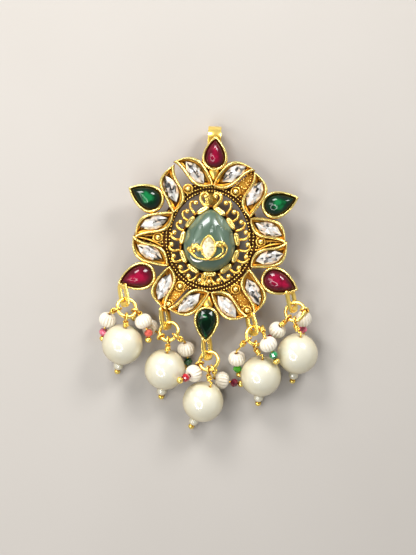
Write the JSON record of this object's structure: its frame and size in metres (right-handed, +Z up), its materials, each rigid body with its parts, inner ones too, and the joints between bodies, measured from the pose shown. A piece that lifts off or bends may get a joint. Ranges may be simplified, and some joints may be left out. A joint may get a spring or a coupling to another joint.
{
  "type": "hair bun brooch",
  "caption": "Oval flower brooch of gold bezels set with leaf and pear stones round a jade teardrop, with a flat hair hook behind and pearl drops along its lower edge.",
  "frame": {"origin": "on the table, under the middle of the bounding box", "axes": "+Z up through the face of the brooch, +Y to the hook's bend, +X to the right of the face"},
  "size_m": [0.0536, 0.074, 0.0124],
  "materials": {
    "antique_gold": "cast gold plate with dark oxidised recesses",
    "bright_gold": "polished gold plate",
    "jade": "polished carved green stone",
    "ruby": "polished cabochon over foil",
    "emerald": "polished cabochon over foil",
    "crystal": "clear faceted stone over foil",
    "pearl": "pearlescent",
    "fluted_bead": "fluted, soft sheen",
    "coloured_bead": "faceted coloured glass"
  },
  "bodies": {
    "root": {"frame": "antique_gold", "centre_stone": "jade", "lotus_inlay": "bright_gold", "lotus_stone": "crystal", "crown_stone_1": "crystal", "crown_stone_2": "crystal", "crown_stone_3": "crystal", "crown_stone_4": "crystal", "shoulder_stone_1": "crystal", "shoulder_stone_2": "crystal", "shoulder_stone_3": "crystal", "shoulder_stone_4": "crystal", "flank_stone_1": "crystal", "flank_stone_2": "crystal", "flank_stone_3": "crystal", "flank_stone_4": "crystal", "pear_stone_top": "ruby", "pear_stone_upper_right": "emerald", "pear_stone_lower_right": "ruby", "pear_stone_bottom": "emerald", "pear_stone_lower_left": "ruby", "pear_stone_upper_left": "emerald", "jump_ring_1": "bright_gold", "pearl_1": "pearl", "pearl_pin_1": "bright_gold", "jump_ring_2": "bright_gold", "pearl_2": "pearl", "pearl_pin_2": "bright_gold", "jump_ring_3": "bright_gold", "pearl_3": "pearl", "pearl_pin_3": "bright_gold", "jump_ring_4": "bright_gold", "pearl_4": "pearl", "pearl_pin_4": "bright_gold", "jump_ring_5": "bright_gold", "pearl_5": "pearl", "pearl_pin_5": "bright_gold", "fluted_bead_1_left": "fluted_bead", "strand_pin_1_left": "bright_gold", "fluted_bead_1_right": "fluted_bead", "strand_pin_1_right": "bright_gold", "fluted_bead_2_left": "fluted_bead", "strand_pin_2_left": "bright_gold", "fluted_bead_2_right": "fluted_bead", "strand_pin_2_right": "bright_gold", "fluted_bead_3_left": "fluted_bead", "strand_pin_3_left": "bright_gold", "fluted_bead_3_right": "fluted_bead", "strand_pin_3_right": "bright_gold", "fluted_bead_4_left": "fluted_bead", "strand_pin_4_left": "bright_gold", "fluted_bead_4_right": "fluted_bead", "strand_pin_4_right": "bright_gold", "fluted_bead_5_left": "fluted_bead", "strand_pin_5_left": "bright_gold", "fluted_bead_5_right": "fluted_bead", "strand_pin_5_right": "bright_gold"}
  },
  "joints": []
}
